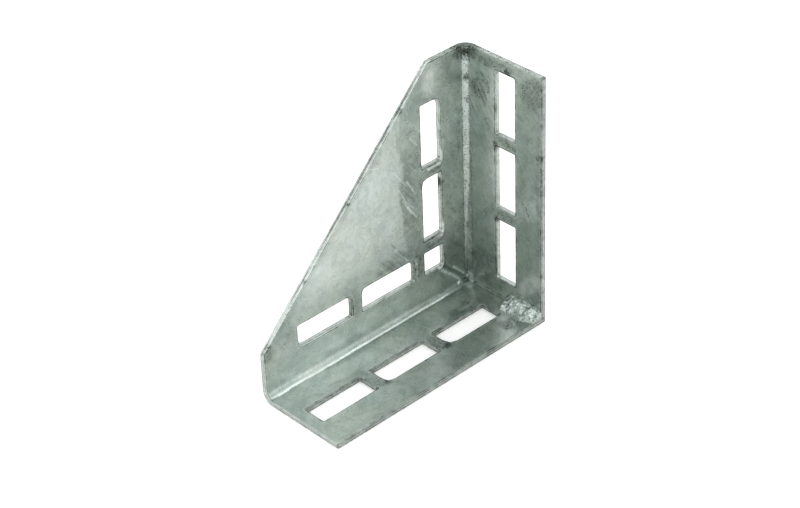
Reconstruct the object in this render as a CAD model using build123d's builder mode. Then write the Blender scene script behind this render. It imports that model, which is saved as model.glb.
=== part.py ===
from build123d import *
import math
import os

os.makedirs("parts", exist_ok=True)

# Sizes are in millimetres. The origin is the outer corner, where the planes of the web's
# back, the base flange's underside and the side flange's outer face meet. The base flange
# runs along X, the side flange stands along Z, and both reach forward along Y.

# Sheet
plate_thickness = 3.0
inside_bend_radius = 4.0
outside_bend_radius = inside_bend_radius + plate_thickness

# Outline
leg_length = 150.0
flange_width = 57.0
end_height = 30.0  # straight end of the web, between a flange and the sloping edge

# Slots, punched through the sheet
slot_width = 13.5
slot_length = 37.5
slot_corner_radius = 0.8
slot_pitch = 45.0
slot_end_margin = 5.0  # least plate left beyond the last slot of a row
flange_slot_line = 31.0  # from the web's back to the middle of each flange's row
first_flange_slot = 33.5  # from the outer corner to the middle of the first slot
web_slot_line = 29.25  # from a leg's outer face to the middle of the web's row beside it
first_web_slot = 62.75  # from the outer corner to the middle of the first slot
corner_hole_size = 13.5  # square hole where the web's two rows cross

# Inner corner
seam_gap = 0.2  # the side flange stands this far above the base flange
crease_depth = 0.6  # shallow crease in the web, from the inner corner to the square hole
crease_width = 3.6

# Fillet weld in the outer part of the seam
weld_length = 27.0
weld_base_leg = 8.0  # across the base flange
weld_side_leg = 5.2  # up the side flange
weld_crown = 0.8  # how far the bead stands proud of a flat fillet
weld_nose = 6.0  # length of its rounded start
weld_blunt = 0.8  # how much longer the start would be if it came to a point
weld_ripple = 0.3  # how much the leg on the base swells and shrinks along the bead
weld_ripple_pitch = 7.0
weld_section_step = 1.5  # about how far apart the sections lie that shape the bead


def slots_in_row(first_slot, row_end):
    """Middles of the slots that fit between the first one and the row's end."""
    room = row_end - slot_end_margin - slot_length / 2 - first_slot
    count = int(room // slot_pitch) + 1
    return [first_slot + i * slot_pitch for i in range(count)]


def bead_size(distance):
    """Size of the bead's section beside the full one, at a distance from its start."""
    in_nose = min(1, (weld_blunt + distance) / (weld_blunt + weld_nose))
    ripple = math.cos(2 * math.pi * distance / weld_ripple_pitch)
    return math.sqrt(1 - (1 - in_nose) ** 2) * (1 - weld_ripple / weld_base_leg * ripple)


# A row in the web ends where its slots' outer side meets the sloping edge.
web_row_end = leg_length + end_height - (web_slot_line + slot_width / 2)
flange_row = slots_in_row(first_flange_slot, leg_length)
web_row = slots_in_row(first_web_slot, web_row_end)


# The plate is one blank: a web with a flange folded up along each of its two legs.
with BuildPart() as folded_plate:
    # Block with the bracket's outline, as deep as the flanges are wide
    with BuildSketch(Plane.XZ):
        with BuildLine():
            Polyline(
                (0, 0),
                (leg_length, 0),
                (leg_length, end_height),
                (end_height, leg_length),
                (0, leg_length),
                close=True,
            )
        make_face()
    extrude(amount=-flange_width)

    # Hollowed to the sheet's thickness, open at the front, at both ends and at the slope
    open_sides = [
        folded_plate.faces().sort_by(Axis.Y)[-1],
        folded_plate.faces().sort_by(Axis.X)[-1],
        folded_plate.faces().sort_by(Axis.Z)[-1],
        folded_plate.faces().sort_by(Axis((0, 0, 0), (1, 0, 1)))[-1],
    ]
    offset(amount=-plate_thickness, openings=open_sides, kind=Kind.INTERSECTION)

    # Folds between the web and each flange, which meet in a mitre at the corner: first on
    # the web's back, then on its front
    for side, bend_radius in enumerate((outside_bend_radius, inside_bend_radius)):
        web_face = folded_plate.faces().filter_by(Axis.Y).sort_by(Axis.Y)[side]
        base_fold = web_face.edges().sort_by(Axis.Z)[0]
        side_fold = web_face.edges().sort_by(Axis.X)[0]
        fillet([base_fold, side_fold], radius=bend_radius)

    # Seam: past the folds the side flange stands on the base flange without touching it
    with BuildSketch(Plane.XZ.offset(-outside_bend_radius)):
        with Locations((0, plate_thickness)):
            Rectangle(plate_thickness, seam_gap, align=(Align.MIN, Align.MIN))
    extrude(amount=outside_bend_radius - flange_width, mode=Mode.SUBTRACT)

    # Slots along the base flange
    with BuildSketch(Plane.XY):
        with Locations([(x, flange_slot_line) for x in flange_row]):
            RectangleRounded(slot_length, slot_width, slot_corner_radius)
    extrude(amount=plate_thickness, mode=Mode.SUBTRACT)

    # Slots up the side flange
    with BuildSketch(Plane.YZ):
        with Locations([(flange_slot_line, z) for z in flange_row]):
            RectangleRounded(slot_width, slot_length, slot_corner_radius)
    extrude(amount=plate_thickness, mode=Mode.SUBTRACT)

    # Slots in the web, a row beside each fold, and the square hole where the rows cross
    with BuildSketch(Plane.XZ):
        with Locations([(x, web_slot_line) for x in web_row]):
            RectangleRounded(slot_length, slot_width, slot_corner_radius)
        with Locations([(web_slot_line, z) for z in web_row]):
            RectangleRounded(slot_width, slot_length, slot_corner_radius)
        with Locations((web_slot_line, web_slot_line)):
            RectangleRounded(corner_hole_size, corner_hole_size, slot_corner_radius)
    extrude(amount=-plate_thickness, mode=Mode.SUBTRACT)

    # Crease that the two folds left in the web: a round-bottomed groove on the diagonal,
    # from the edge of the folds to the square hole, with a ball end at the folds
    crease_radius = (crease_width**2 / 4 + crease_depth**2) / (2 * crease_depth)
    crease_start = (
        outside_bend_radius,
        plate_thickness - crease_depth + crease_radius,
        outside_bend_radius,
    )
    crease_run = (web_slot_line - outside_bend_radius) * math.sqrt(2)
    crease_plane = Plane(crease_start, x_dir=(0, 1, 0), z_dir=(1, 0, 1))
    with BuildSketch(crease_plane):
        Circle(crease_radius)
    extrude(amount=crease_run, mode=Mode.SUBTRACT)
    with Locations(crease_plane):
        Sphere(crease_radius, mode=Mode.SUBTRACT)

folded_plate.part.label = "folded_plate"
export_step(folded_plate.part, "parts/folded_plate.step")


# The bead lies in the corner between the flanges and ends at their free edges.
with BuildPart() as corner_weld:
    section_count = math.ceil(weld_length / weld_section_step)
    for i in range(section_count + 1):
        distance = weld_length * i / section_count
        size = bead_size(distance)
        base_leg = weld_base_leg * size
        side_leg = weld_side_leg * size
        chord = math.hypot(base_leg, side_leg)
        crown_x = base_leg / 2 + weld_crown * size * side_leg / chord
        crown_z = side_leg / 2 + weld_crown * size * base_leg / chord
        along_seam = flange_width - weld_length + distance
        seam_root = Plane(
            (plate_thickness, along_seam, plate_thickness), x_dir=(1, 0, 0), z_dir=(0, -1, 0)
        )
        with BuildSketch(seam_root):
            with BuildLine():
                Line((0, 0), (base_leg, 0))
                ThreePointArc((base_leg, 0), (crown_x, crown_z), (0, side_leg))
                Line((0, side_leg), (0, 0))
            make_face()
    loft()

corner_weld.part.label = "corner_weld"
export_step(corner_weld.part, "parts/corner_weld.step")

for piece in (folded_plate, corner_weld):
    print(piece.part.label, round(piece.part.volume), "mm3")
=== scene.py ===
import math

import bmesh
import bpy
import numpy as np
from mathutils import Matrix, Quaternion, Vector
from mathutils.kdtree import KDTree


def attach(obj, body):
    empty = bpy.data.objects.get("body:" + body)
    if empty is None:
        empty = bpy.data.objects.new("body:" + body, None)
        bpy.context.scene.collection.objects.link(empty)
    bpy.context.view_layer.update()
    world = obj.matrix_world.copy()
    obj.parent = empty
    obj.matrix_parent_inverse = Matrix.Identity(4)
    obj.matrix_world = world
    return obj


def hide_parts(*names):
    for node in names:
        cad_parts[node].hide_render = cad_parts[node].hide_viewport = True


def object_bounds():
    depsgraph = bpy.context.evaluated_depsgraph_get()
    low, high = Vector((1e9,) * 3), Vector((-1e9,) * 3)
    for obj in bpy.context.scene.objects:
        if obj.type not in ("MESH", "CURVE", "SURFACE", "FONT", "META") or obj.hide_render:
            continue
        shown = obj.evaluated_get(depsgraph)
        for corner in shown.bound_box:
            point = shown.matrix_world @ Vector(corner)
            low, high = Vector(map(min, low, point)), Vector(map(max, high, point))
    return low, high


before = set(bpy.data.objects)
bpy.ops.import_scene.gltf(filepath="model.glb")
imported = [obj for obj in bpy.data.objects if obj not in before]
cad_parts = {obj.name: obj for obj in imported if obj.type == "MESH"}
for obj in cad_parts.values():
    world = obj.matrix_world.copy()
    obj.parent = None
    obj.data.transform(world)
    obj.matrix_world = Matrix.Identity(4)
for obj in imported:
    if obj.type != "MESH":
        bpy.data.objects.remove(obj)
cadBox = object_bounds()
print("frame loaded")

# Everything below is in millimetres until a mesh is written in metres.
toMetres = 0.001
sheetThickness = 3.0
flangeWidth = (cadBox[1].y - cadBox[0].y) / toMetres
legLength = (cadBox[1].x - cadBox[0].x) / toMetres
boxInMm = np.array([list(corner) for corner in cadBox]) / toMetres
straightEnd = 30.0  # from a flange to where the sloping edge starts
foldEnd = 7.5  # just past the folds, from the web's back or a flange's outer face

# each flat's facing axis, and the two axes that a place on it is given along
flats = {"web": (1, 0, 2), "base": (2, 0, 1), "side": (0, 1, 2)}


def smooth(value, low, high):
    # 0 below low, 1 above high, smooth between them
    t = np.clip((value - low) / (high - low), 0, 1)
    return t * t * (3 - 2 * t)


def cloud(points, size, seed, layers=3):
    # smooth noise, roughly from -1 to 1, whose largest lumps are about as wide as size
    lattice = np.random.default_rng(seed).uniform(-1, 1, (32, 32, 32))
    total = np.zeros(len(points))
    strength = 1.0
    for layer in range(layers):
        place = points / size * 2**layer + 5.3 * layer
        cell = np.floor(place).astype(int)
        part = place - cell
        part = part * part * (3 - 2 * part)
        for corner in np.ndindex(2, 2, 2):
            share = np.prod(np.where(corner, part, 1 - part), axis=1)
            x, y, z = ((cell + corner) % 32).T
            total += strength * share * lattice[x, y, z]
        strength *= 0.5
    return total


def distanceToPath(points, path):
    # how far each point lies from a line of straight runs, and how far along it, from 0 to 1
    path = np.array(path, float)
    nearest = np.full(len(points), 1e9)
    along = np.zeros(len(points))
    lengths = np.linalg.norm(np.diff(path, axis=0), axis=1)
    start = 0.0
    for a, b, length in zip(path, path[1:], lengths):
        t = np.clip((points - a) @ (b - a) / length**2, 0, 1)
        d = np.linalg.norm(points - a - t[:, None] * (b - a), axis=1)
        closer = d < nearest
        nearest[closer] = d[closer]
        along[closer] = ((start + t * length) / lengths.sum())[closer]
        start += length
    return nearest, along


def smoothPath(points, rounds=3):
    # cuts the corners of a path a few times, which leaves a smooth line with the same ends
    path = np.array(points, float)
    for _ in range(rounds):
        a, b = path[:-1], path[1:]
        cut = np.stack([0.75 * a + 0.25 * b, 0.25 * a + 0.75 * b], axis=1).reshape(-1, 3)
        path = np.vstack([path[:1], cut, path[-1:]])
    return path


def finishedObject(name, mesh, material):
    piece = bpy.data.objects.new(name, mesh)
    bpy.context.scene.collection.objects.link(piece)
    mesh.materials.clear()
    mesh.materials.append(material)
    mesh.polygons.foreach_set("use_smooth", np.ones(len(mesh.polygons), bool))
    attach(piece, "root")
    return piece


def storeValues(mesh, values):
    # one named number for each vertex, which the finish reads
    for name, numbers in values.items():
        stored = mesh.attributes.new(name, "FLOAT", "POINT")
        stored.data.foreach_set("value", np.asarray(numbers, np.float32))


# Shader maths

class Wire:
    # a socket that can stand in an expression
    def __init__(self, finish, socket):
        self.finish = finish
        self.socket = socket

    def __add__(self, other):
        return self.finish.maths("ADD", self, other)

    def __sub__(self, other):
        return self.finish.maths("SUBTRACT", self, other)

    def __rsub__(self, other):
        return self.finish.maths("SUBTRACT", other, self)

    def __mul__(self, other):
        return self.finish.maths("MULTIPLY", self, other)

    __radd__ = __add__
    __rmul__ = __mul__


class Finish:
    # a material and the one way its nodes are made
    def __init__(self, name):
        self.material = bpy.data.materials.new(name)
        self.material.use_nodes = True
        self.tree = self.material.node_tree
        self.tree.nodes.clear()

    def node(self, kind, settings=None, inputs=None):
        made = self.tree.nodes.new(kind)
        for key, value in (settings or {}).items():
            if key == "stops":
                ramp = made.color_ramp
                while len(ramp.elements) < len(value):
                    ramp.elements.new(0.5)
                for element, (position, colour) in zip(ramp.elements, value):
                    element.position = position
                    element.color = (*colour, 1)
            else:
                setattr(made, key, value)
        for key, value in (inputs or {}).items():
            if isinstance(value, Wire):
                self.tree.links.new(value.socket, made.inputs[key])
            else:
                made.inputs[key].default_value = value
        return made

    def out(self, made, socket=0):
        return Wire(self, made.outputs[socket])

    def maths(self, operation, a, b):
        return self.out(self.node("ShaderNodeMath", {"operation": operation}, {0: a, 1: b}))

    def vector(self, operation, a, b, socket=0):
        made = self.node("ShaderNodeVectorMath", {"operation": operation}, {0: a, 1: b})
        return self.out(made, socket)

    def step(self, value, low, high):
        # 0 below low, 1 above high, smooth between them
        settings = {"interpolation_type": "SMOOTHSTEP"}
        inputs = {"Value": value, "From Min": low, "From Max": high}
        return self.out(self.node("ShaderNodeMapRange", settings, inputs))

    def stored(self, name):
        # a number kept on the mesh's vertices
        return self.out(self.node("ShaderNodeAttribute", {"attribute_name": name}), "Fac")

    def place(self):
        # the object's own coordinates in millimetres
        spot = self.out(self.node("ShaderNodeTexCoord"), "Object")
        return self.vector("MULTIPLY", spot, (1 / toMetres,) * 3)

    def noise(self, place, size, detail=3.0, roughness=0.55, distortion=0.0):
        # noise from -1 to 1, as wide as size in millimetres
        inputs = {
            "Vector": place,
            "Scale": 1 / size,
            "Detail": detail,
            "Roughness": roughness,
            "Distortion": distortion,
        }
        raw = self.out(self.node("ShaderNodeTexNoise", {"noise_dimensions": "3D"}, inputs))
        return (raw - 0.5) * 2

    def mix(self, share, a, b):
        made = self.node("ShaderNodeMix", {"data_type": "RGBA"}, {0: share, 6: a, 7: b})
        return self.out(made, 2)

    def scratch(self, place, start, end, width):
        # 1 on a straight mark between two places, fading out over its width and at its ends
        start, end = Vector(start), Vector(end)
        run = (end - start).normalized()
        offset = self.vector("SUBTRACT", place, tuple(start))
        along = self.vector("DOT_PRODUCT", offset, tuple(run), "Value")
        reach = self.maths("MINIMUM", self.maths("MAXIMUM", along, 0.0), (end - start).length)
        scaled = self.node("ShaderNodeVectorMath", {"operation": "SCALE"}, {0: tuple(run), "Scale": reach})
        away = self.vector("DISTANCE", offset, self.out(scaled), "Value")
        return 1 - self.step(away, width * 0.25, width)


# The finish of the sheet and of the weld

zincLook = {
    "stops": (
        (0.0, (0.028, 0.034, 0.029)),
        (0.25, (0.118, 0.138, 0.121)),
        (0.5, (0.380, 0.425, 0.387)),
        (0.75, (0.62, 0.665, 0.625)),
        (1.0, (0.90, 0.93, 0.90)),
    ),
    "sheetTone": 0.53,
    "weldTone": 0.63,
    "cool": (0.97, 1.0, 1.015, 1),
    "warm": (1.0, 1.0, 0.975, 1),
    "cutTint": (1.01, 0.99, 1.0, 1),
    "across": (0.52, -0.74, -0.43),  # the way across its fine streaks
    "metal": 0.95,
    "roughness": 0.29,
    "scratches": (  # start, end, width, shade
        ((44, 3, 111), (39, 3, 105), 0.6, 0.10),
        ((45, 3, 95.5), (40, 3, 89), 0.6, 0.10),
        ((47, 3, 86.5), (41.5, 3, 76.5), 0.8, 0.14),
        ((53, 3, 84), (48, 3, 74), 0.7, 0.10),
        ((50.5, 3, 76), (44, 3, 65.5), 1.0, 0.15),
        ((60, 3, 54), (51, 3, 42), 0.9, -0.08),
        ((57, 3, 49), (48.5, 3, 38), 0.8, 0.10),
        ((76, 3, 107), (66, 3, 103), 0.5, 0.08),
        ((56, 3, 96), (49, 3, 86), 0.6, 0.08),
        ((47, 3, 71), (41, 3, 62), 0.7, 0.12),
    ),
}


def zincFinish(name, look, tone, coarse):
    finish = Finish(name)
    place = finish.place()
    across = finish.vector("DOT_PRODUCT", place, look["across"], "Value")
    spread = finish.node(
        "ShaderNodeVectorMath", {"operation": "SCALE"}, {0: look["across"], "Scale": across}
    )
    drawn = finish.vector("MULTIPLY", place, (0.11,) * 3)
    combed = finish.vector("ADD", drawn, finish.out(spread))
    clouds = finish.noise(place, 17, 4, 0.5, 0.6)
    blotch = finish.step(finish.noise(place, 9, 5, 0.62, 1.6), -0.12, 0.12) - 0.5
    mottle = finish.noise(place, 4.2, 4, 0.6, 0.3)
    grain = finish.noise(place, 0.95, 3, 0.7)
    dots = finish.noise(place, 0.85, 2, 0.6)
    broken = finish.noise(place, 2.4, 2)
    streaks = finish.noise(combed, 2.0, 4, 0.65)
    stained = finish.step(finish.noise(place, 6, 3), -0.15, 0.45)
    speckle = finish.stored("speckle")
    scuff = finish.stored("scuff")
    rim = finish.stored("rim")
    cut = finish.stored("cut")

    shade = tone + finish.stored("tone")
    shade = shade + clouds * 0.06 + blotch * 0.06 + mottle * 0.07 * coarse
    shade = shade + grain * 0.10 * coarse + streaks * (0.04 + scuff * 0.22)
    shade = shade + finish.step(streaks, 0.15, 0.45) * scuff * 0.14
    shade = shade - finish.step(finish.noise(combed, 1.1, 2), 0.30, 0.55) * (0.07 + scuff * 0.1)

    # the crisp, ragged border of a painted reflection of the side flange: a darker strip on the web beside
    # the slots
    inStrip = finish.step(finish.stored("toBorder") + streaks * 3, -0.5, 0.5)
    shade = shade + inStrip * finish.stored("darker")

    # beside each edge: a thin broken dark line on the flat, and lines along the cut face
    besideEdge = finish.step(rim, 0.05, 0.3) * (1 - finish.step(rim, 0.45, 1.0 + broken)) * (1 - cut)
    shade = shade - besideEdge * (0.08 + broken * 0.14 + stained * 0.30)
    rolled = finish.step(rim, 0.7, 1.0) * (1 - finish.step(rim, 1.2, 1.6)) * (1 - cut)
    shade = shade + rolled * (0.07 - broken * 0.12)
    inCut = finish.step(rim, 0.12, 0.3) * (1 - finish.step(rim, 0.45, 0.75))
    shade = shade - cut * inCut * (0.12 + broken * 0.18 + stained * 0.18) + cut * streaks * 0.10
    shade = shade - speckle * finish.step(dots + grain * 0.5, 0.05, 0.4) * 0.30
    shade = shade + speckle * finish.step(0 - dots, 0.25, 0.55) * 0.15
    for start, end, width, change in look["scratches"] if coarse == 1 else ():
        shade = shade + finish.scratch(place, start, end, width) * (change * (1.3 + broken * 1.3))

    colour = finish.out(finish.node("ShaderNodeValToRGB", {"stops": look["stops"]}, {0: shade}))
    warmth = finish.step(finish.noise(place, 21, 3, 0.5, 0.4), -0.35, 0.35)
    tint = finish.mix(cut, finish.mix(warmth, look["cool"], look["warm"]), look["cutTint"])
    colour = finish.vector("MULTIPLY", colour, tint)
    nearEdge = 1 - finish.step(rim, 0.1, 1.2)
    rough = look["roughness"] + mottle * 0.06 + grain * 0.06 + nearEdge * 0.16 + speckle * 0.12
    height = mottle * 0.04 * coarse + grain * 0.016 * coarse + speckle * dots * 0.03
    bump = finish.node(
        "ShaderNodeBump", None, {"Strength": 1.0, "Distance": toMetres, "Height": height}
    )
    shader = finish.node(
        "ShaderNodeBsdfPrincipled",
        None,
        {
            "Base Color": colour,
            "Metallic": look["metal"],
            "Roughness": rough,
            "Normal": finish.out(bump),
        },
    )
    finish.node("ShaderNodeOutputMaterial", None, {"Surface": finish.out(shader)})
    return finish.material


sheetFinish = zincFinish("dipped_zinc", zincLook, zincLook["sheetTone"], 1)
weldFinish = zincFinish("lumpy_zinc", zincLook, zincLook["weldTone"], 1.4)
print("finishes made")


# The plate: the sheet's own form with softened edges, cut into a fine net that the zinc's
# ridges and runs are raised from

plateLook = {
    "softEdge": 0.45,  # how far the sheared edges are rounded over, and in how many steps
    "softSteps": 3,
    "sharpTurn": 60,  # degrees between two faces with a sheared edge between them
    "foldStep": 0.4,  # spacing of the net over the folds, by the inner corner and beyond
    "cornerStep": 0.55,
    "netStep": 1.5,
    "quickerStep": 3,
    "foldReach": 8.0,
    "cornerReach": (27.0, 25.0, 27.0),
    "edgeLines": (1.1, 1.5, 1.9),  # where the net cuts the web's sheared edge, from the back
    "insideBend": 4.0,
    "wave": 0.035,  # rise and size of the sheet's faint waves
    "waveSize": 13,
    "farEdge": 6.0,  # how far from an edge it is still measured
    # shades of the sheared faces and of the softened edges beside them
    "edges": {
        "base": -0.06,
        "side": -0.03,
        "web": 0.04,
        # painted shade on the softened edges at the back
        "back": -0.16,
        "free": -0.10,
        "slope": 0.25,
        "slopeLine": -0.85,
        # painted shade on the walls of the base flange's slots
        "baseSlotWall": -0.09,
        "webEndWall": -0.16,
        "speckle": 0.5,
        "speckleBeside": 0.35,
        "topSpeckle": 1.0,
        "slopeSpeckle": 0.4,
    },
    # zinc pooled in the upright fold, with a painted highlight along it and painted shade beside it and at
    # its foot: values at its foot, then at its top
    "uprightFold": {
        "climb": (25, 85),  # heights between which it changes
        "rise": 0.12,
        "middle": (66, 52),  # where it lies round the fold, and how far it reaches, in degrees
        "reach": (8, 21),
        # painted highlight along the band's upper part, painted shade at its foot and on the fold beside it
        "bandShade": (-0.02, 0.06),
        "footShade": -0.16,
        "foot": (10, 26),
        "borderShade": -0.14,
        "borderReach": (44, 14, 5),  # on the flange's side at its foot and top, and on the web's
        "speckle": 1.0,
        "borderSpeckle": 0.4,
        "topEnd": (138, 147),
        "topShade": -0.20,
        "topSpeckle": 1.4,
    },
    # painted shade round the lying fold, and the run of zinc along it, painted lighter as a highlight
    "baseFold": {
        "hollow": (28, 36, 50, 75),  # degrees round the fold, from the flange to the web
        "hollowShade": -0.11,
        "shaded": (2, 8, 12, 18),
        "shadedShade": -0.12,
        "runPath": ((150, 5.4, 3.3), (95, 5.2, 3.4), (40, 4.9, 3.45), (11, 4.5, 3.6)),
        "runWidth": (0.75, 0.5),
        "runRise": 0.20,
        # how much lighter the run is painted, a painted highlight that grows towards the corner
        "runShade": (0.15, 0.70),  # at the outer end and near the corner
        "runTurn": (65, 125),  # places along the fold between which that changes
        "runWander": 0.22,
    },
    # the web is darker beside the slots that run up it, a painted reflection of the side flange with a
    # ragged border, and darker inside the slope
    "webStrip": {
        "border": 51.5,
        "ragged": (1.5, 3.5),
        "shade": -0.04,
        "middleShade": -0.07,
        "middle": (30, 50, 95, 120),
        "share": 0.3,
        "slopeShade": -0.08,
        "slopeReach": (22, 28),
        "slopeRun": (50, 75, 138, 145),
    },
    # the crease from the folds to the square hole, and the pit at its foot, both with painted shade
    "corner": {
        "crease": ((7, 3, 7), (22.5, 3, 22.5)),
        "creaseReach": 3.0,
        "filled": (0.9, 0.4),  # how full of zinc it is at its round end and by the hole
        "filledTurn": (0.15, 0.5),
        "creaseShade": -0.10,
        "pit": (5.6, 4.2, 5.0),
        "pitReach": (0.8, 3.4),
        "pitShade": -0.22,
    },
    # ridges of zinc: path, half width at its two ends, rise, shade; each ridge is painted lighter by its
    # shade, a painted highlight on the raised zinc
    "ridges": (
        # lips of the crease between the inner corner and the square hole
        (
            (
                (24.5, 3, 20.4),
                (20.8, 3, 17.2),
                (16.3, 3, 13.3),
                (12.6, 3, 9.5),
                (9.6, 3.4, 6.3),
                (12.8, 3.8, 4.6),
            ),
            (0.9, 0.8),
            0.38,
            0.50,
        ),
        (((15.4, 3, 18.1), (11.7, 3, 14.3), (6.8, 3, 9.1), (5.0, 3.6, 5.8)), (0.8, 0.8), 0.34, 0.45),
        # the run that curves over the base flange from the corner to the first slot
        (
            ((7.6, 4.4, 3.5), (8.0, 6.5, 3), (9.6, 13.4, 3), (17.5, 20.5, 3), (29, 19.5, 3)),
            (0.8, 1.0),
            0.22,
            0.18,
        ),
        # faint line beside the seam
        (((7.1, 23.9, 3), (5.8, 31, 3)), (0.6, 0.5), 0.14, 0.10),
        # smears on the side flange
        (((3, 8.8, 8.9), (3, 12, 10.9), (3, 15.7, 12.2)), (0.9, 0.6), 0.10, 0.13),
        (((3, 7.1, 4.4), (3, 11, 4.6), (3, 15.5, 4.2)), (0.7, 0.5), 0.10, 0.08),
        (((3, 13.5, 7.2), (3, 16.5, 4.8)), (0.6, 0.5), 0.08, 0.10),
        # curls of zinc where the punch tore the corners of the web's slots
        (((21.9, 3, 95), (21.2, 3, 88.6), (24.5, 3, 86.4), (33, 3, 87.0)), (0.8, 0.6), 0.35, 0.40),
        (((21.8, 3, 50), (21.2, 3, 43.4), (24.6, 3, 41.0), (33, 3, 41.5)), (0.8, 0.6), 0.35, 0.40),
        (((43.2, 3, 37.4), (41.6, 3, 34.0), (41.9, 3, 25.0)), (0.6, 0.6), 0.25, 0.28),
        # curl of zinc at the square hole's lower corner
        (
            ((23.4, 2.9, 24.2), (22.1, 2.9, 22.6), (23.6, 2.9, 21.4), (26.5, 2.9, 21.7)),
            (0.7, 0.7),
            0.35,
            0.50,
        ),
        # bright streak on the base flange beside the weld
        (((14.5, 45.5, 3), (16.5, 51, 3)), (0.9, 0.6), 0.08, 0.14),
    ),
    # patches: flat, middle, reach to each side, shade, speckle, scuff; the ones marked below are painted
    # light or painted shade, the rest the zinc's own tone and marks
    "patches": (
        ("web", (29, 137), (4.5, 10), 0.10, 0, 0),
        ("web", (46, 76), (8, 26), -0.04, 0.1, 0.8),
        ("web", (59, 42), (12, 7), -0.11, 0.2, 1.0),
        # the next two are painted shade and painted light: a darker middle and a lighter left of the web
        ("web", (80, 72), (20, 24), -0.02, 0, 0),
        ("web", (110, 45), (24, 20), 0.03, 0, 0),
        ("web", (12, 110), (5, 34), -0.04, 0.3, 0.3),
        ("web", (14, 45), (6, 30), -0.02, 0.3, 0.3),
        ("web", (148, 29), (4, 6), -0.14, 0.6, 0),
        ("web", (29, 86), (8, 3.5), -0.05, 0.9, 0.8),
        ("web", (29, 41), (8, 3.5), -0.05, 0.9, 0.8),
        ("web", (41, 30), (3.5, 8), -0.09, 0.8, 0.4),
        ("web", (86, 29), (3.5, 9), -0.06, 0.6, 0.2),
        # the next twelve are painted light: broad lighter patches on the web's lower left, along the lying
        # fold and by the upright fold, with a little scuff and speckle on some
        ("web", (122, 18), (30, 13), 0.09, 0, 0),
        ("web", (113, 42), (18, 20), 0.06, 0, 0),
        ("web", (122, 9), (32, 5), 0.06, 0, 0),
        ("web", (60, 12), (34, 7), 0.04, 0, 0),
        ("web", (92, 16), (26, 8), 0.05, 0, 0),
        ("web", (92, 62), (22, 22), 0.05, 0, 0),
        ("base", (116, 13), (38, 7), 0.09, 0, 0.2),
        ("base", (118, 46), (34, 9), 0.05, 0, 0.2),
        ("base", (66, 14), (16, 7), 0.03, 0, 0.2),
        ("base", (12, 24), (9, 16), 0.07, 0, 0.1),
        ("base", (40, 9), (14, 4), 0.04, 0, 0),
        ("web", (11, 90), (6, 60), 0.05, 0.2, 0),
        ("base", (41, 14), (4.5, 8), 0.11, 0, 0),
        ("base", (29, 21), (6, 5), -0.08, 0, 0.2),
        ("base", (22, 49), (12, 7), -0.05, 0.2, 0.3),
        ("base", (132, 51), (16, 5), 0.03, 0.2, 0),
        ("base", (18, 47), (6, 6), -0.14, 0.2, 0.4),
        # the next seven are painted light: lighter strips along both folds
        ("base", (92, 14), (30, 6), 0.04, 0, 0),
        ("web", (84, 14), (30, 5), 0.04, 0, 0),
        ("web", (14, 56), (5, 24), 0.03, 0, 0),
        ("web", (13, 122), (6, 22), 0.05, 0, 0),
        ("web", (50, 14), (16, 5), 0.05, 0, 0),
        ("web", (116, 6), (26, 4), 0.05, 0, 0),
        ("base", (28, 13), (9, 5), 0.06, 0, 0),
        ("base", (56, 31), (4, 9), -0.13, 0.7, 0.5),
        ("base", (101, 31), (4, 9), -0.08, 0.6, 0.5),
        ("side", (50, 138), (10, 11), -0.10, 0.8, 0.3),
        ("side", (26, 145), (14, 4), -0.08, 1.0, 0.2),
        ("side", (14, 130), (8, 10), -0.12, 0.6, 0.5),
        ("side", (15, 108), (9, 26), 0.0, 0.4, 0.6),
        ("side", (55, 75), (2.5, 60), -0.06, 0.3, 0),
        # the next two are painted shade: they damp the light that the inner corner and the weld reflect
        # onto the side flange, with a little speckle and scuff
        ("side", (19, 18), (14, 14), -0.15, 0, 0.2),
        ("side", (49, 16), (6, 9), -0.07, 0.2, 0.2),
        ("side", (31, 101), (9, 4), -0.06, 0.8, 0.4),
        ("side", (31, 56), (9, 4), -0.06, 0.8, 0.4),
        ("side", (46, 85), (7, 30), -0.04, 0.2, 0.2),
        ("side", (46, 67), (7, 7), 0.07, 0.5, 0.8),
    ),
    # small stains and bright spots: middle, reach, shade, speckle
    "stains": (
        ((22.5, 0.2, 75), 4.2, -0.55, 0.8),
        ((23.0, 3, 70), 3.0, -0.12, 0.8),
        ((36.0, 3, 79), 3.0, -0.12, 0.6),
        ((3, 33, 142.6), 3.2, -0.34, 1.2),
        ((1.5, 28, 142.2), 2.5, -0.25, 0.6),
        ((3, 55.5, 103), 2.2, -0.28, 0.6),
        ((3, 53.4, 101.7), 1.6, -0.22, 0.4),
        ((4.2, 4.2, 130.8), 2.4, -0.28, 1.0),
        ((4.2, 4.2, 118), 2.2, -0.16, 1.0),
        ((4.2, 4.2, 146), 3.0, -0.25, 1.2),
        ((3.9, 4.6, 140), 3.0, 0.12, 1.2),
        ((3, 24.3, 120), 2.5, -0.18, 1.0),
        ((3, 24.3, 97.5), 3.0, -0.22, 1.0),
        ((3, 24.3, 52.5), 3.0, -0.20, 1.0),
        ((3, 24.5, 14.5), 2.0, 0.22, 0.4),
        ((147.2, 3, 33), 2.6, -0.22, 0.8),
        ((150, 2.5, 31), 1.8, -0.30, 0.4),
        ((54.5, 38.5, 3), 2.6, -0.22, 1.0),
        ((98.5, 38.0, 3), 2.8, -0.24, 1.0),
        ((14.2, 31, 3), 3.4, -0.14, 0.8),
        ((50, 3, 129.5), 2.4, -0.24, 0.6),
        ((88, 3, 92), 1.8, -0.25, 0.5),
        ((120, 3, 60.5), 1.8, -0.25, 0.5),
    ),
    # slot corners that the zinc has filled: flat, corner, way to the slot's middle, reach, push
    "filledCorners": (
        ("base", (52.25, 37.75), (-1, -1), 6.5, 1.7),
        ("base", (97.25, 37.75), (-1, -1), 5.0, 1.2),
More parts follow.
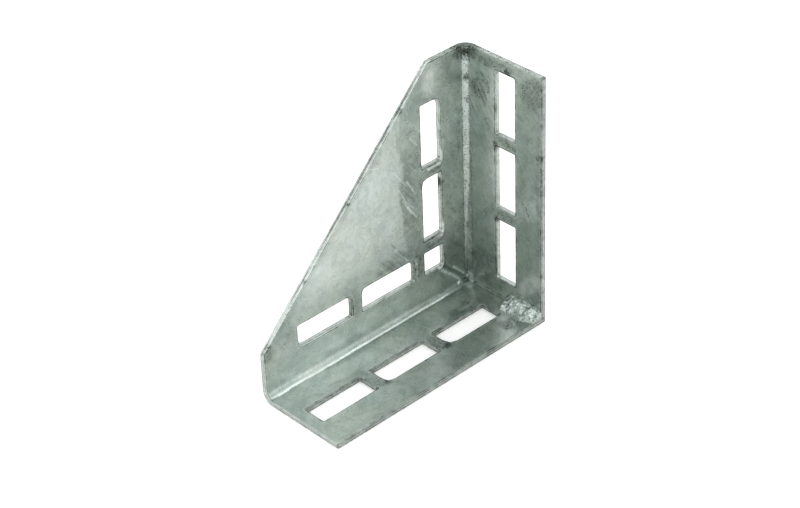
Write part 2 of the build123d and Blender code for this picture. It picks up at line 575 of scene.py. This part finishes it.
        ("web", (22.5, 126.5), (1, -1), 5.0, 1.3),
        ("web", (36, 81.5), (-1, -1), 4.0, 0.9),
        ("web", (126.5, 22.5), (-1, 1), 6.0, 1.1),
        ("web", (89, 36), (1, -1), 4.5, 1.2),
        ("web", (44, 36), (1, -1), 4.5, 1.2),
        ("web", (81.5, 36), (-1, -1), 3.5, 0.7),
    ),
}


def netLines(look, axis):
    # where the net cuts across one axis: around the middle of the sheet, close together by
    # the inner corner, then wider
    end = (flangeWidth if axis == 1 else legLength) - look["softEdge"]
    corner = look["cornerReach"][axis]
    wider = 1
    lines = list(look["edgeLines"]) if axis == 1 else [sheetThickness / 2]
    lines += list(np.arange(sheetThickness, look["foldReach"], look["foldStep"]))
    lines += list(np.arange(look["foldReach"], corner, look["cornerStep"] * wider))
    lines += list(np.arange(corner, end, look["netStep"] * wider))
    return lines


def netted(look):
    net = bmesh.new()
    net.from_mesh(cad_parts["folded_plate"].data)
    bmesh.ops.scale(net, vec=(1 / toMetres,) * 3, verts=net.verts)
    bmesh.ops.remove_doubles(net, verts=net.verts, dist=0.001)
    bmesh.ops.dissolve_limit(net, angle_limit=math.radians(0.5), verts=net.verts, edges=net.edges)
    seamTop = sheetThickness + 0.5

    def inSeam(corner):
        return corner.co.x < seamTop and sheetThickness - 0.1 < corner.co.z < seamTop

    sheared = [
        edge
        for edge in net.edges
        if edge.is_convex
        and edge.calc_face_angle(0) > math.radians(look["sharpTurn"])
        and not all(inSeam(corner) for corner in edge.verts)
    ]
    bmesh.ops.bevel(
        net,
        geom=sheared,
        offset=look["softEdge"],
        segments=look["softSteps"],
        profile=0.5,
        affect="EDGES",
        clamp_overlap=False,
    )
    for axis in range(3):
        facing = Vector([float(i == axis) for i in range(3)])
        for line in netLines(look, axis):
            parts = net.verts[:] + net.edges[:] + net.faces[:]
            bmesh.ops.bisect_plane(net, geom=parts, dist=0.01, plane_co=facing * line, plane_no=facing)
    return net


def cutShares(net, look):
    # 1 on the sheared faces, 0 on the sheet's own faces, half on the softened edges between
    bend = look["insideBend"] + sheetThickness + 0.01
    shares = np.full(len(net.verts), 0.5)
    for face in net.faces:
        middle = face.calc_center_median()
        facing = face.normal
        flat = None
        for axis in range(3):
            if abs(facing[axis]) > 0.9999:
                level = middle[axis]
                onSheet = min(abs(level), abs(level - sheetThickness)) < 0.05
                flat = 0.0 if onSheet else 1.0
        if flat is None and facing.y < 0.02 and abs(facing.x - facing.z) < 0.002 and facing.x > 0.7:
            flat = 1.0  # the sloping edge
        if flat is None:
            onBaseFold = abs(facing.x) < 0.01 and middle.y < bend and middle.z < bend
            onSideFold = abs(facing.z) < 0.01 and middle.y < bend and middle.x < bend
            if onBaseFold or onSideFold:
                flat = 0.0
        if flat is not None:
            for vertex in face.verts:
                shares[vertex.index] = flat
    points = np.array([v.co for v in net.verts])
    away, along = distanceToPath(points, look["corner"]["crease"])
    onFront = (points[:, 1] > 2) & (points[:, 1] < sheetThickness + 0.01)
    shares[onFront & (away < look["corner"]["creaseReach"] + 0.4) & (along < 0.96)] = 0
    return shares


def rimDistances(points, shares, look):
    # how far each vertex lies from the nearest softened edge
    onEdge = np.flatnonzero(shares == 0.5)
    tree = KDTree(len(onEdge))
    for i in onEdge:
        tree.insert(points[i], int(i))
    tree.balance()
    return np.array([min(tree.find(p)[2], look["farEdge"]) for p in points])


def flatShare(points, normals, flat):
    # 1 for vertices that lie on a flat's inner face, less where the fold turns away from it
    axis = flats[flat][0]
    return smooth(normals[:, axis], 0.3, 0.8) * (points[:, axis] < foldEnd) * (points[:, axis] > 2)


def between(value, edges):
    # 0 below the first edge, 1 from the second to the third, 0 above the last
    return smooth(value, *edges[:2]) * (1 - smooth(value, *edges[2:]))


def raiseRidge(points, path, width, rise, wander, seed=20):
    # how far a ridge lifts each vertex
    drift = np.stack([cloud(points, 7, seed + i, 2) for i in range(3)], axis=1) * wander
    away, along = distanceToPath(points + drift, smoothPath(path))
    reach = width[0] + (width[1] - width[0]) * along
    ends = smooth(along, 0.0, 0.06) * (1 - smooth(along, 0.92, 1.0))
    share = np.exp(-((away / reach) ** 2)) * ends * (1 + 0.35 * cloud(points, 1.8, seed + 5, 2))
    return share * rise


def shadeEdges(coat, look):
    points, cut = coat["points"], coat["cut"]
    x, y, z = points.T
    low = points < sheetThickness + 0.3
    sheared = cut > 0.4
    edge = cut == 0.5
    onFlange = y > 8
    tone = coat["tone"]
    tone += look["base"] * (edge & low[:, 2] & onFlange)
    tone += look["side"] * (edge & low[:, 0] & onFlange)
    tone += look["web"] * (edge & low[:, 1] & (y > 1))
    # painted shade: the softened edges at the back are darkened
    tone += look["back"] * (edge & (y < 0.6))
    tone += look["free"] * (sheared & (y > flangeWidth - 0.6))

    onSlope = sheared & (x + z > legLength + straightEnd - 3)
    midSheet = np.abs(y - sheetThickness / 2) < 0.1
    tone += look["slope"] * onSlope
    tone += look["slopeLine"] * (onSlope & midSheet) * (0.7 + 0.6 * cloud(points, 8, 13))

    # painted shade in the base slots' walls, deeper towards the inner corner
    inBaseSlot = sheared & low[:, 2] & (y > 20) & (y < 50) & (x < legLength - 2)
    nearCorner = 1 + 0.3 * smooth(60 - x, 0, 10)
    tone += look["baseSlotWall"] * nearCorner * inBaseSlot
    endWall = sheared & (coat["normals"][:, 0] > 0.7) & (y < sheetThickness) & (x > 40) & (x < 100)
    tone += look["webEndWall"] * endWall

    beside = (1 - smooth(coat["rim"], 0.5, 2.0)) * (cut < 0.4)
    coat["speckle"] += look["speckle"] * sheared + look["speckleBeside"] * beside
    coat["speckle"] += look["topSpeckle"] * (sheared & (z > legLength - 1))
    coat["speckle"] += look["slopeSpeckle"] * onSlope


def shadeUprightFold(coat, look):
    # a speckled band of pooled zinc, raised a little, with painted shade on the fold on both sides of it
    points, normals = coat["points"], coat["normals"]
    x, y, z = points.T
    high = smooth(z + 4 * cloud(points, 9, 12), *look["climb"])
    angle = np.degrees(np.arctan2(normals[:, 1], normals[:, 0])) + 5 * cloud(points, 2.5, 11)
    middle = look["middle"][0] + (look["middle"][1] - look["middle"][0]) * high
    reach = look["reach"][0] + (look["reach"][1] - look["reach"][0]) * high
    aside = np.abs(angle - middle) - reach
    onFold = (coat["cut"] == 0) * smooth(z, 6, 12) * (x < foldEnd) * (y < foldEnd)
    band = (1 - smooth(aside, -3, 4)) * onFold
    footReach, topReach, webReach = look["borderReach"]
    wide = np.where(angle < middle, topReach + (footReach - topReach) * (1 - high), webReach)
    border = (1 - smooth(aside, wide, wide + 10)) * (1 - band) * onFold * (angle < 84) * (angle > 3)
    # painted shade at the band's foot, by the inner corner
    atFoot = 1 - smooth(z, *look["foot"])
    footShade, topShade = look["bandShade"]
    coat["lift"] += look["rise"] * band
    # the band is painted a little lighter towards its top, a painted highlight, and its border darker,
    # painted shade
    coat["tone"] += band * (topShade * high + footShade * (1 - high)) + border * look["borderShade"]
    coat["tone"] += look["footShade"] * (band + 0.5 * border) * atFoot
    coat["speckle"] += band * look["speckle"] * (0.4 + 0.6 * high) + look["borderSpeckle"] * border

    # its dark, dirty top
    topEnd = smooth(z, *look["topEnd"]) * (1 - smooth(np.hypot(x, y), 8, 16))
    coat["tone"] += look["topShade"] * topEnd
    coat["speckle"] += look["topSpeckle"] * topEnd


def shadeBaseFold(coat, look):
    points, normals = coat["points"], coat["normals"]
    x, y, z = points.T
    angle = np.degrees(np.arctan2(normals[:, 1], normals[:, 2]))
    onFold = (coat["cut"] == 0) * (y < foldEnd) * (z < foldEnd) * (y > 2.9)
    # painted shade on the fold's fillet, in its middle and just above the flange
    coat["tone"] += look["hollowShade"] * between(angle, look["hollow"]) * onFold
    coat["tone"] += look["shadedShade"] * between(angle, look["shaded"]) * onFold
    raised = raiseRidge(points, look["runPath"], look["runWidth"], look["runRise"], look["runWander"])
    # the run is real raised zinc, painted lighter along it as a painted highlight, most near the corner
    near = 1 - smooth(x, *look["runTurn"])
    outer, inner = look["runShade"]
    coat["lift"] += raised
    coat["tone"] += raised / look["runRise"] * (outer * (1 - near) + inner * near)


def addRidges(coat, ridges):
    for n, (path, width, rise, shade) in enumerate(ridges):
        raised = raiseRidge(coat["points"], path, width, rise, 0.0, 30 + n)
        coat["lift"] += raised
        # painted highlight along the raised ridge
        coat["tone"] += raised / rise * shade


def addPatches(coat, patches):
    points = coat["points"]
    for n, (flat, middle, reach, shade, dotted, scuffed) in enumerate(patches):
        _, u, v = flats[flat]
        spread = ((points[:, u] - middle[0]) / reach[0]) ** 2 + ((points[:, v] - middle[1]) / reach[1]) ** 2
        border = np.sqrt(spread) + 0.3 * cloud(points, 9, 60 + n)
        share = (1 - smooth(border, 0.72, 1.08)) * flatShare(points, coat["normals"], flat)
        coat["tone"] += share * shade
        coat["speckle"] += share * dotted
        coat["scuff"] += share * scuffed


def addStains(coat, stains):
    points = coat["points"]
    for n, (middle, reach, shade, dotted) in enumerate(stains):
        away = np.linalg.norm(points - middle, axis=1) / reach + 0.25 * cloud(points, 2.2, 150 + n, 2)
        share = 1 - smooth(away, 0.35, 1.0)
        coat["tone"] += share * shade
        coat["speckle"] += share * dotted


def shadeWeb(coat, look):
    # the finish draws the painted reflection's ragged border from its distance and its shade
    points = coat["points"]
    x, y, z = points.T
    onWeb = flatShare(points, coat["normals"], "web")
    across = np.outer(points @ zincLook["across"], (1, 0, 0))
    coarse, fine = look["ragged"]
    border = look["border"] - coarse * cloud(points, 7, 14) - fine * cloud(across, 4, 15, 3)
    coat["toBorder"] = np.clip(border - x, -8, 8)
    coat["darker"] = (look["shade"] + look["middleShade"] * between(z, look["middle"])) * onWeb
    coat["tone"] -= look["share"] * coat["darker"]
    bySlope = smooth(x + z - legLength, *look["slopeReach"]) * between(x, look["slopeRun"])
    coat["tone"] += look["slopeShade"] * bySlope * onWeb


def fillCrease(coat, look):
    # the crease is half filled with zinc, and nearly full at its round end
    points = coat["points"]
    # painted shade in the pit at the crease's foot
    pit = np.linalg.norm(points - look["pit"], axis=1)
    coat["tone"] += look["pitShade"] * (1 - smooth(pit, *look["pitReach"]))
    away, along = distanceToPath(points, look["crease"])
    depth = sheetThickness - points[:, 1]
    inCrease = (away < look["creaseReach"]) & (depth > 0) & (depth < 1)
    full, less = look["filled"]
    filled = inCrease * (full - (full - less) * smooth(along, *look["filledTurn"]))
    # painted shade on the crease's floor
    coat["tone"] += look["creaseShade"] * inCrease * smooth(depth, 0.1, 0.4)
    points[:, 1] += filled * depth


def fillCorners(points, moved, filledCorners):
    for flat, corner, way, reach, push in filledCorners:
        axis, u, v = flats[flat]
        away = np.hypot(points[:, u] - corner[0], points[:, v] - corner[1])
        share = (1 - smooth(away, 0, reach)) * (points[:, axis] < sheetThickness + 0.3)
        moved[:, u] += share * push * way[0] / math.sqrt(2)
        moved[:, v] += share * push * way[1] / math.sqrt(2)


def plateMesh(look):
    net = netted(look)
    net.normal_update()
    net.verts.index_update()
    points = np.array([v.co for v in net.verts], float)
    cut = cutShares(net, look)
    coat = {
        "points": points,
        "normals": np.array([v.normal for v in net.verts], float),
        "cut": cut,
        "rim": rimDistances(points, cut, look),
        "lift": cloud(points, look["waveSize"], 3) * look["wave"],
        "tone": np.zeros(len(points)),
        "speckle": np.zeros(len(points)),
        "scuff": np.zeros(len(points)),
    }
    shadeEdges(coat, look["edges"])
    shadeUprightFold(coat, look["uprightFold"])
    shadeBaseFold(coat, look["baseFold"])
    addRidges(coat, look["ridges"])
    addPatches(coat, look["patches"])
    addStains(coat, look["stains"])
    shadeWeb(coat, look["webStrip"])
    fillCrease(coat, look["corner"])

    moved = points + coat["normals"] * coat["lift"][:, None]
    fillCorners(points, moved, look["filledCorners"])
    moved = np.clip(moved, boxInMm[0], boxInMm[1])
    for vertex, place in zip(net.verts, moved):
        vertex.co = place * toMetres
    mesh = bpy.data.meshes.new("zinc_coated_plate")
    net.to_mesh(mesh)
    net.free()
    read = ("tone", "rim", "cut", "speckle", "scuff", "toBorder", "darker")
    storeValues(mesh, {name: coat[name] for name in read})
    return mesh


plate = finishedObject("zinc_coated_plate", plateMesh(plateLook), sheetFinish)
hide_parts("folded_plate")
flatten = plate.modifiers.new("evenShading", "WEIGHTED_NORMAL")
flatten.keep_sharp = True
print("plate made,", sum(len(p.vertices) - 2 for p in plate.data.polygons), "triangles")


# The weld: a bead across the corner of the two flanges, lumpy under its zinc, and the zinc
# that ran into the rest of the seam

weldStart = 31.0
weldLook = {
    "start": weldStart,
    "length": flangeWidth - weldStart,
    "legs": (9.0, 6.0),  # across the base flange, up the side flange
    "crown": 0.3,
    "nose": 5.0,
    "taper": 0.12,
    "step": 0.3,
    "across": 38,
    "sunk": 0.12,  # how far its toes dip under the zinc beside them
    "wander": (0.09, 4.5),  # how much its legs swell and shrink, and over what length
    # painted highlight on the lumps and painted shade in the hollows
    "riseShade": 0.27,
    "cloudShade": 0.08,
    "toeShade": -0.10,
    "endShade": -0.12,
    "speckle": 1.5,
    "lumps": ((5.5, 0.5, 3),),  # size, height, layers
    "crags": ((2.2, 0.55), (1.1, 0.30)),  # size, height
    "mounds": (  # place along the seam, share of the way up, reach, rise
        (37.7, 0.04, 1.0, 0.4),
        (35.2, 0.22, 0.9, 0.3),
        (38.0, 0.52, 1.0, 0.3),
        (40.0, 0.22, 1.1, 0.3),
        (37.4, 0.24, 0.7, 0.2),
        (36.9, 0.40, 1.3, -0.9),
        (38.9, 0.16, 0.9, -0.6),
        (40.5, 0.85, 1.8, 0.8),
        (43.0, 0.70, 1.3, 0.5),
        (46.0, 0.40, 1.6, 0.35),
        (51.8, 0.82, 1.9, 0.8),
        (50.7, 0.60, 1.3, 0.5),
        (53.2, 0.50, 1.5, 0.55),
        (49.3, 0.78, 0.9, -0.9),
        (47.0, 0.72, 0.9, -0.6),
        (44.5, 0.25, 1.1, -0.5),
        (48.5, 0.35, 1.0, -0.5),
        (54.8, 0.20, 1.6, 0.4),
    ),
}

seamLook = {
    "start": 6.2,
    "length": 26.0,
    "legs": (1.5, 1.7),
    "step": 0.4,
    "across": 10,
    "lump": 0.12,
    "sunk": 0.06,
    # painted shade along the seam's fillet
    "shade": -0.19,
    "speckle": 0.1,
}


def seamBead(name, look, section):
    # a closed bead in the seam: rows along it, each an arc from toe to toe over a hidden root
    rows = int(round(look["length"] / look["step"])) + 1
    along = np.linspace(0, look["length"], rows)
    share = np.linspace(0, 1, look["across"] + 1)
    top, rise = section(along, share)
    hidden = np.full(rows, sheetThickness - 0.1)
    root = np.stack([hidden, look["start"] + along, hidden], axis=1)
    rings = np.concatenate([top, root[:, None, :]], axis=1)
    rise = np.concatenate([rise, np.zeros((rows, 1))], axis=1).ravel()
    ring = len(share) + 1
    faces = []
    for row in range(rows - 1):
        for i in range(ring):
            a, b = row * ring + i, row * ring + (i + 1) % ring
            faces.append((a, b, b + ring, a + ring))
    faces.append(tuple(range(ring))[::-1])
    faces.append(tuple((rows - 1) * ring + i for i in range(ring)))
    points = np.clip(rings.reshape(-1, 3), boxInMm[0], boxInMm[1])
    mesh = bpy.data.meshes.new(name)
    mesh.from_pydata((points * toMetres).tolist(), [], faces)
    mesh.validate()
    shell = bmesh.new()
    shell.from_mesh(mesh)
    bmesh.ops.recalc_face_normals(shell, faces=shell.faces)
    shell.to_mesh(mesh)
    shell.free()
    return mesh, points, rise


def weldSection(along, share):
    look = weldLook
    inNose = np.clip((0.8 + along) / (0.8 + look["nose"]), 0, 1)
    size = np.sqrt(1 - (1 - inNose) ** 2)[:, None]
    size *= 1 - look["taper"] * smooth(along, look["length"] - 7, look["length"])[:, None]
    s, t = np.meshgrid(along, share, indexing="ij")
    swell, swellLength = look["wander"]
    byToe = np.stack([s, 0 * s, 9 * (t > 0.5)], 2).reshape(-1, 3)
    wander = 1 + swell * cloud(byToe, swellLength, 80, 2).reshape(s.shape)
    legs = look["legs"]
    chord = math.hypot(*legs)
    arch = 4 * t * (1 - t)
    x = sheetThickness + legs[0] * size * wander * (1 - t)
    z = sheetThickness + legs[1] * size * wander * t
    place = np.stack([x, look["start"] + s, z], axis=2).reshape(-1, 3)
    lumps = np.zeros(s.shape)
    for n, (wide, height, layers) in enumerate(look["lumps"]):
        lumps += height * cloud(place, wide, 81 + n, layers).reshape(s.shape)
    for n, (wide, height) in enumerate(look["crags"]):
        lumps += height * (0.5 - np.abs(cloud(place, wide, 91 + n, 2))).reshape(s.shape)
    for distance, up, reach, height in look["mounds"]:
        gap = np.hypot(look["start"] + s - distance, (t - up) * chord)
        lumps += height * np.exp(-((gap / reach) ** 2))
    lumps *= np.minimum(1, arch * 1.6)
    # a full middle that runs out into hollow skirts at both toes
    rise = look["crown"] * size * (1.9 * smooth(arch, 0.3, 0.95) - 0.5 * arch) + lumps
    x = x + rise * legs[1] / chord - look["sunk"] * (t > 0.999)
    z = z + rise * legs[0] / chord - look["sunk"] * (t < 0.001)
    return np.stack([x, look["start"] + s, z], axis=2), lumps


def zincInSeam(along, share):
    # a hollow fillet that thins out to both ends
    look = seamLook
    s, t = np.meshgrid(along, share, indexing="ij")
    ends = smooth(s, 0, 3) * 0.6 + 0.4
    legX, legZ = look["legs"][0] * ends, look["legs"][1] * ends
    turn = t * math.pi / 2
    x = sheetThickness + legX * (1 - np.sin(turn))
    z = sheetThickness + legZ * (1 - np.cos(turn))
    place = np.stack([x, look["start"] + s, z], axis=2)
    bulge = look["lump"] * cloud(place.reshape(-1, 3), 3, 83, 3).reshape(s.shape) * 4 * t * (1 - t)
    x = x + bulge - look["sunk"] * (t > 0.999)
    z = z + bulge - look["sunk"] * (t < 0.001)
    return np.stack([x, look["start"] + s, z], axis=2), bulge


def storeCoat(mesh, tone, speckle):
    # neither bead has a sheared edge
    count = len(mesh.vertices)
    values = {"tone": tone, "speckle": speckle, "rim": plateLook["farEdge"], "cut": 0.0}
    storeValues(mesh, {name: np.broadcast_to(value, count) for name, value in values.items()})


def weldShades(points, rise, look):
    # a painted highlight on its lumps and painted shade in its hollows; darker at its toes and towards both
    # ends
    toFlanges = points[:, (0, 2)].min(axis=1) - sheetThickness
    shades = look["riseShade"] * np.clip(rise, -1, 1)
    shades += look["cloudShade"] * cloud(points, 2.6, 85, 3)
    shades += look["toeShade"] * (1 - smooth(toFlanges, 0.1, 0.9))
    middle = weldStart + look["length"] / 2
    shades += look["endShade"] * smooth(np.abs(points[:, 1] - middle), 7, 13)
    return shades


weldForm, weldPoints, weldRise = seamBead("lumpy_weld", weldLook, weldSection)
storeCoat(weldForm, weldShades(weldPoints, weldRise, weldLook), weldLook["speckle"])
weld = finishedObject("lumpy_weld", weldForm, weldFinish)
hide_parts("corner_weld")
seamForm, _, _ = seamBead("seam_zinc", seamLook, zincInSeam)
# the seam's zinc is painted darker, painted shade in the seam
storeCoat(seamForm, seamLook["shade"], seamLook["speckle"])
finishedObject("seam_zinc", seamForm, sheetFinish)
print("weld and seam made")


# Floor, light and camera

studio = {
    "floorReach": 3.0,
    "floorDrop": 0.02,
    "floorColour": (0.97, 0.955, 0.935),
    "floorGlow": 0.13,
    "skyColour": (0.96, 0.98, 1.0),
    "skyStrength": 1.35,
    "aim": (0.05, 0.03, 0.05),
    "lights": (  # name, place, width, power
        ("key_light", (-0.95, 0.95, 0.8), 1.4, 0.6),
        ("overhead_light", (-0.68, 0.0, 1.16), 0.4, 1.6),
    ),
}


def studioFloor(look):
    reach = look["floorReach"]
    level = -look["floorDrop"] * toMetres
    ways = ((-1, -1), (1, -1), (1, 1), (-1, 1))
    corners = [(x * reach, y * reach, level) for x, y in ways]
    mesh = bpy.data.meshes.new("studio_floor")
    mesh.from_pydata(corners, [], [(0, 1, 2, 3)])
    finish = Finish("pale_floor")
    shader = finish.node(
        "ShaderNodeBsdfPrincipled",
        None,
        {
            "Base Color": (*look["floorColour"], 1),
            "Roughness": 0.9,
            "Specular IOR Level": 0.1,
            "Emission Color": (1, 1, 1, 1),
            "Emission Strength": look["floorGlow"],
        },
    )
    finish.node("ShaderNodeOutputMaterial", None, {"Surface": finish.out(shader)})
    mesh.materials.append(finish.material)
    floor = bpy.data.objects.new("studio_floor", mesh)
    bpy.context.scene.collection.objects.link(floor)


def studioSky(look):
    world = bpy.data.worlds.new("soft_studio")
    world.use_nodes = True
    background = world.node_tree.nodes["Background"]
    background.inputs["Color"].default_value = (*look["skyColour"], 1)
    background.inputs["Strength"].default_value = look["skyStrength"]
    bpy.context.scene.world = world


def softbox(name, place, aim, width, power):
    light = bpy.data.lights.new(name, "AREA")
    light.shape = "SQUARE"
    light.size = width
    light.energy = power
    lamp = bpy.data.objects.new(name, light)
    lamp.location = place
    lamp.rotation_mode = "QUATERNION"
    lamp.rotation_quaternion = (Vector(aim) - Vector(place)).to_track_quat("-Z", "Y")
    bpy.context.scene.collection.objects.link(lamp)


cameraLook = {
    "place": (718.2, 727.2, 710.4),
    "azimuth": 137.467,
    "elevation": 34.107,
    "roll": -2.25,
    "lens": 101.84,
    "filmWidth": 36.0,
}


def placeCamera(look):
    data = bpy.data.cameras.new("viewpoint")
    data.lens = look["lens"]
    data.sensor_width = look["filmWidth"]
    data.clip_start, data.clip_end = 0.05, 20
    camera = bpy.data.objects.new("viewpoint", data)
    camera.location = Vector(look["place"]) * toMetres
    turn, rise = math.radians(look["azimuth"]), math.radians(look["elevation"])
    back = Vector((math.sin(turn) * math.cos(rise), -math.cos(turn) * math.cos(rise), math.sin(rise)))
    level = (-back).to_track_quat("-Z", "Y")
    tilt = Quaternion((0, 0, 1), math.radians(look["roll"]))
    camera.rotation_mode = "QUATERNION"
    camera.rotation_quaternion = level @ tilt
    bpy.context.scene.collection.objects.link(camera)
    bpy.context.scene.camera = camera


studioFloor(studio)
studioSky(studio)
for name, place, width, power in studio["lights"]:
    softbox(name, place, studio["aim"], width, power)
placeCamera(cameraLook)
bpy.context.scene.view_settings.view_transform = "Standard"
print("studio set")
